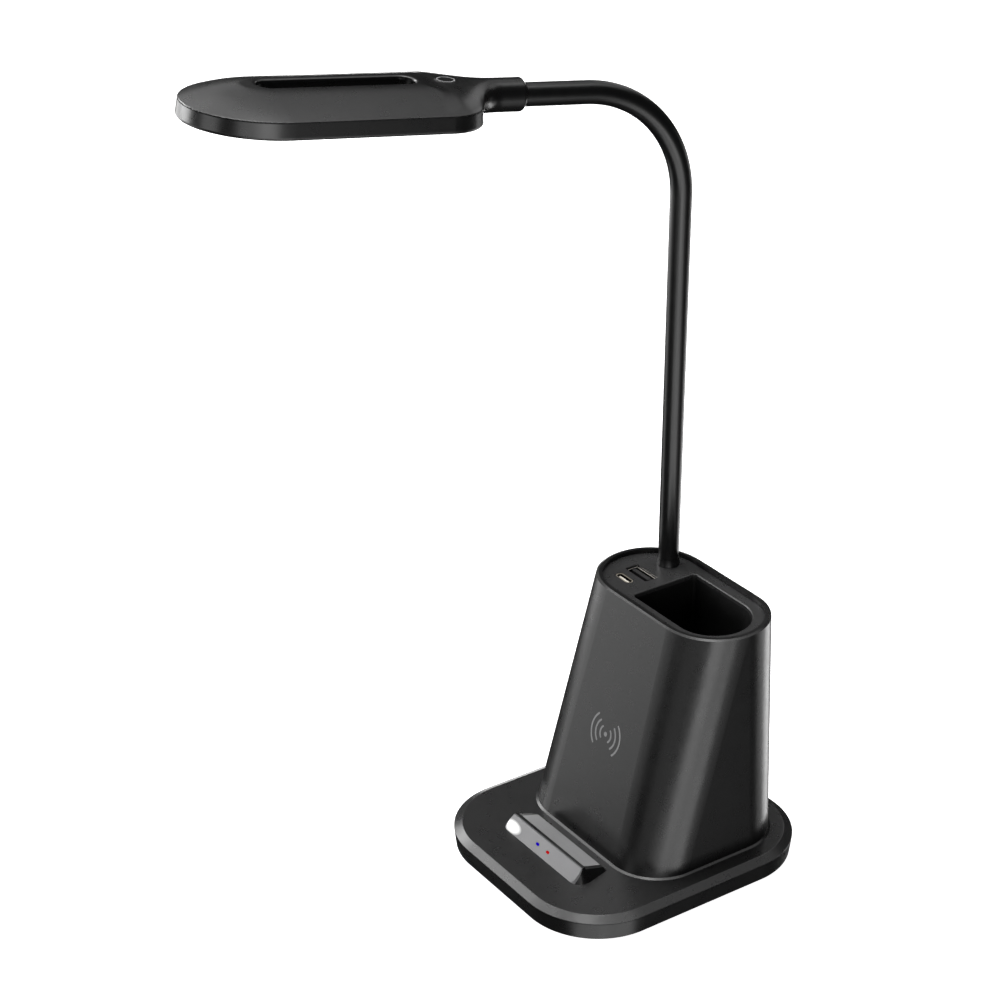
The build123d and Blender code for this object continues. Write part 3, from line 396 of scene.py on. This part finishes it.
def head_field(P):
    u, y, z = P[..., 0], P[..., 1], P[..., 2]
    dp, ds, top = d_plan(u, y), d_slot(u, y), top_of(u, y)
    slab = np.maximum(smax(dp, (z - top) * 0.9, 0.02 + 0.9 * (1 - sstep(u, 0.0, 7.0))), HEAD_BOT - z)
    # neck socket: a tube with a chamfered end that fans out sideways into the crown
    tall = SOCK_R + 0.05 - 3.4 * sstep(u, 11.0, 27.0)
    wide = SOCK_R + 0.05 + 21.0 * sstep(u, -13.0, 14.0) ** 1.25
    e = np.sqrt((y / wide) ** 2 + ((z - 0.15) / tall) ** 2) + 1e-9
    slope = np.sqrt((y / wide ** 2) ** 2 + ((z - 0.15) / tall ** 2) ** 2) / e + 1e-6
    tube = (e - 1) / np.maximum(slope, 0.06)
    tube = np.maximum(tube, np.maximum(u - 28.0, -SOCK_L - u))
    rho = np.hypot(y, z - 0.15)
    tube = np.maximum(tube, (rho - SOCK_R - 0.05 - SOCK_L - u + 1.8) * 0.7071)
    f = smin(slab, tube, 0.9 + 2.4 * (1 - sstep(u, 0.0, 9.0)))
    # flat round boss for the touch control
    boss = np.maximum(smax(np.hypot(u - TOUCH_U, y) - 3.95, z - TOUCH_Z, 0.4), 2.0 - z)
    f = smin(f, boss, 0.4)
    # the lower frame keeps its own room
    frame_room = np.maximum(np.maximum(dp - 0.12, z - SEAM), 1.6 - ds)
    f = np.maximum(f, -frame_room)
    f = np.maximum(f, HEAD_BOT + 0.2 - z + np.where(u < 0.5, -20.0, 0.0))
    # hollow inside
    inside = np.maximum(np.maximum(z - (top - 1.9), dp + 1.9), 1.6 - ds)
    f = np.maximum(f, -inside)
    # slot with a rolled edge
    f = smax(f, -ds, 1.3)
    # bore for the neck
    bore = np.maximum(np.hypot(y, z) - 4.7, u + 4.0)
    return np.maximum(f, -bore)


def surface_nets(field, lo, hi, h):
    n = [int(math.ceil((b - a) / h)) + 1 for a, b in zip(lo, hi)]
    ax = [lo[i] + h * np.arange(n[i]) for i in range(3)]
    g = np.stack(np.meshgrid(*ax, indexing="ij"), -1)
    f = field(g)
    neg = f < 0
    shape = tuple(k - 1 for k in n)
    acc, cnt = np.zeros(shape + (3,)), np.zeros(shape)
    for axis in range(3):
        b, c = [i for i in range(3) if i != axis]
        for ob in (0, 1):
            for oc in (0, 1):
                s0 = [slice(0, shape[i]) for i in range(3)]
                s0[b] = slice(ob, ob + shape[b])
                s0[c] = slice(oc, oc + shape[c])
                s1 = list(s0)
                s1[axis] = slice(1, 1 + shape[axis])
                f0, f1 = f[tuple(s0)], f[tuple(s1)]
                cross = neg[tuple(s0)] != neg[tuple(s1)]
                t = np.where(cross, f0 / np.where(cross, f0 - f1, 1.0), 0.0)
                acc[..., axis] += t
                acc[..., b] += cross * ob
                acc[..., c] += cross * oc
                cnt += cross
    active = cnt > 0
    index = -np.ones(shape, int)
    index[active] = np.arange(active.sum())
    cells = np.argwhere(active)
    verts = (cells + acc[active] / cnt[active][:, None]) * h + np.array(lo)
    faces = []
    for axis in range(3):
        b, c = (axis + 1) % 3, (axis + 2) % 3
        s0 = [slice(1, shape[i]) for i in range(3)]
        s0[axis] = slice(0, shape[axis])
        s1 = list(s0)
        s1[axis] = slice(1, 1 + shape[axis])
        a0, a1 = neg[tuple(s0)], neg[tuple(s1)]
        where = np.argwhere(a0 != a1)
        flip = a0[tuple(where.T)]
        base = where.copy()
        base[:, b] += 1
        base[:, c] += 1
        quad = []
        for ob, oc in ((0, 0), (-1, 0), (-1, -1), (0, -1)):
            q = base.copy()
            q[:, b] += ob
            q[:, c] += oc
            quad.append(index[tuple(q.T)])
        quad = np.stack(quad, 1)
        quad[~flip] = quad[~flip][:, ::-1]
        faces.append(quad)
    return verts, np.concatenate(faces)


def settle(field, v, steps=4, limit=0.25):
    """Moves each vertex onto the field's zero surface."""
    e = 0.02
    start = v.copy()
    for _ in range(steps):
        f = field(v)
        grad = np.stack([(field(v + d) - field(v - d)) / (2 * e) for d in np.eye(3) * e], -1)
        v = v - (f / np.maximum((grad ** 2).sum(-1), 0.05))[:, None] * grad
        v = start + np.clip(v - start, -limit, limit)
    return v


verts, faces = surface_nets(head_field, (-27.2, -30.0, -7.5), (112.0, 30.0, 8.5), 0.5)
verts = settle(head_field, verts)
head_shell = make_mesh("head_shell", head_to_row(verts), faces, HOUSING)
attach(head_shell, "head")
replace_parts(head_shell, "head_top_shell")

# touch mark: a thin ring set into the boss
RING_R0, RING_R1 = 2.95, 3.55
verts, faces = [], []
for k in range(72):
    a = 2 * math.pi * k / 72
    for r, dz in ((RING_R0, -0.3), (RING_R0, 0.02), (RING_R0 + 0.1, 0.08), (RING_R1 - 0.1, 0.08), (RING_R1, 0.02), (RING_R1, -0.3)):
        verts.append((TOUCH_U + r * math.cos(a), r * math.sin(a), TOUCH_Z + dz))
for k in range(72):
    for i in range(5):
        a, b = k * 6 + i, ((k + 1) % 72) * 6 + i
        faces.append((a, b, b + 1, a + 1))
touch = make_mesh("touch_mark", head_to_row(verts), faces, RING)
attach(touch, "head")
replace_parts(touch, "touch_ring")

# ------------------------------------------------------------------ charging mark on the front face: a dot between three pairs of arcs
lean = math.atan2((RIM_Y - RIM_D / 2) - (FOOT_Y - FOOT_D / 2), RIM_Z - LID_Z1)
FACE_UP = np.array([0, math.sin(lean), math.cos(lean)])
FACE_N = np.array([0, -math.cos(lean), math.sin(lean)])
FACE_O = np.array([0, (FOOT_Y - FOOT_D / 2) + (58.3 - LID_Z1) * math.tan(lean), 58.3])


def on_face(a, b, out):
    return FACE_O + np.array([a, 0, 0]) + FACE_UP * b + FACE_N * out


def arc_mark(name, radius, width, start, end, steps=40):
    """A flat stroke with round ends, a film's thickness proud of the face."""
    path = []
    for i in range(steps + 1):
        t = math.radians(start + (end - start) * i / steps)
        path.append((radius, t, width / 2))
    ring = []
    ro, ri = radius + width / 2, radius - width / 2
    for r, t, w in path:
        ring.append((ro * math.cos(t), ro * math.sin(t)))
    te = math.radians(end)
    for i in range(1, 8):
        q = te + math.pi * i / 8 * (1 if end > start else -1)
        ring.append((radius * math.cos(te) + width / 2 * math.cos(q), radius * math.sin(te) + width / 2 * math.sin(q)))
    for r, t, w in reversed(path):
        ring.append((ri * math.cos(t), ri * math.sin(t)))
    ts = math.radians(start)
    for i in range(1, 8):
        q = ts + math.pi + math.pi * i / 8 * (1 if end > start else -1)
        ring.append((radius * math.cos(ts) + width / 2 * math.cos(q), radius * math.sin(ts) + width / 2 * math.sin(q)))
    n = len(ring)
    verts = [on_face(a, b, 0.04) for a, b in ring] + [on_face(a, b, -0.15) for a, b in ring]
    faces = [tuple(range(n))] + [(i, n + i, n + (i + 1) % n, (i + 1) % n) for i in range(n)]
    return make_mesh(name, verts, faces, MARK, smooth=False)


marks = []
for i, r in enumerate((3.55, 6.45, 9.35)):
    half = 45.0
    marks.append(arc_mark("charge_arc_right_%d" % (i + 1), r, 0.85, -half, half))
    marks.append(arc_mark("charge_arc_left_%d" % (i + 1), r, 0.85, 180 - half, 180 + half))
dot = [(1.0 * math.cos(2 * math.pi * k / 40), 1.0 * math.sin(2 * math.pi * k / 40)) for k in range(40)]
verts = [on_face(a, b, 0.04) for a, b in dot] + [on_face(a, b, -0.15) for a, b in dot]
marks.append(make_mesh("charge_dot", verts, [tuple(range(40))] + [(i, 40 + i, 40 + (i + 1) % 40, (i + 1) % 40) for i in range(40)], MARK, smooth=False))
for m in marks:
    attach(m, "base")

# ------------------------------------------------------------------ floor and light
floor_mesh = bpy.data.meshes.new("floor")
floor_mesh.from_pydata([(-30, -30, -0.0001), (30, -30, -0.0001), (30, 30, -0.0001), (-30, 30, -0.0001)], [], [(0, 1, 2, 3)])
floor = bpy.data.objects.new("floor", floor_mesh)
scene.collection.objects.link(floor)
fm, nt, b = new_mat("floor")
nt.links.new(ramp(nt, noise(nt, coords(nt), 6.0), [(0.3, (0.80, 0.80, 0.80)), (0.7, (0.82, 0.82, 0.82))]), b.inputs["Base Color"])
b.inputs["Roughness"].default_value = 0.9
b.inputs["Specular IOR Level"].default_value = 0.0
b.inputs["Emission Color"].default_value = (1, 1, 1, 1)
b.inputs["Emission Strength"].default_value = 1.0
floor_mesh.materials.append(fm)
# a clear light table: the panels under it shine through
floor.visible_glossy = False
floor.visible_diffuse = False
floor.visible_shadow = False

world = bpy.data.worlds.new("studio")
scene.world = world
world.use_nodes = True
nt = world.node_tree
bg = nt.nodes["Background"]
bg.inputs["Color"].default_value = (0.01, 0.01, 0.01, 1)
bg.inputs["Strength"].default_value = 1.0
white = nt.nodes.new("ShaderNodeBackground")
white.inputs["Color"].default_value = (1, 1, 1, 1)
white.inputs["Strength"].default_value = 1.0
path = nt.nodes.new("ShaderNodeLightPath")
mix = nt.nodes.new("ShaderNodeMixShader")
nt.links.new(path.outputs["Is Camera Ray"], mix.inputs["Fac"])
nt.links.new(bg.outputs["Background"], mix.inputs[1])
nt.links.new(white.outputs["Background"], mix.inputs[2])
nt.links.new(mix.outputs["Shader"], nt.nodes["World Output"].inputs["Surface"])


def softbox(name, at, aim, size, power):
    li = bpy.data.lights.new(name, "AREA")
    li.shape = "RECTANGLE"
    li.size, li.size_y = size
    li.energy = power
    ob = bpy.data.objects.new(name, li)
    scene.collection.objects.link(ob)
    ob.location = at
    ob.rotation_euler = (Vector(aim) - Vector(at)).to_track_quat("-Z", "Y").to_euler()
    ob.visible_camera = False
    return ob


# soft panels round the lamp: row elevation, panels in a full turn, height in degrees, then azimuth and power of the lit ones
MIDDLE, REACH = Vector((0.0, 0.0, 0.15)), 1.4
ROWS = [
    (-50, 8, 24, {0: 2.3, 315: 2.4}),
    (-28, 15, 20, {0: 2.3, 24: 0.43, 72: 0.73, 96: 2.6, 216: 1.1, 312: 2.0, 336: 1.8}),
    (-9, 15, 18, {0: 0.9, 96: 1.1, 144: 4.0, 192: 2.5, 216: 1.4, 240: 0.62, 288: 0.49, 336: 3.2}),
    (9, 15, 18, {216: 7.5, 264: 2.0, 312: 2.0, 336: 3.2}),
    (28, 15, 20, {120: 0.8, 168: 0.5, 192: 8.0, 216: 1.5}),
    (50, 12, 24, {90: 1.0, 120: 0.44, 150: 0.6, 180: 1.35, 210: 3.1}),
    (76, 5, 28, {72: 3.0, 144: 3.3, 216: 10.0}),
]
for el, count, tall, lit in ROWS:
    e = math.radians(el)
    size = (2 * REACH * math.cos(e) * math.tan(math.pi / count), 2 * REACH * math.tan(math.radians(tall / 2)))
    for azimuth, power in lit.items():
        a = math.radians(azimuth)
        out = Vector((math.cos(a) * math.cos(e), math.sin(a) * math.cos(e), math.sin(e)))
        softbox("panel_%d_%d" % (el, azimuth), MIDDLE + REACH * out, MIDDLE, size, power)
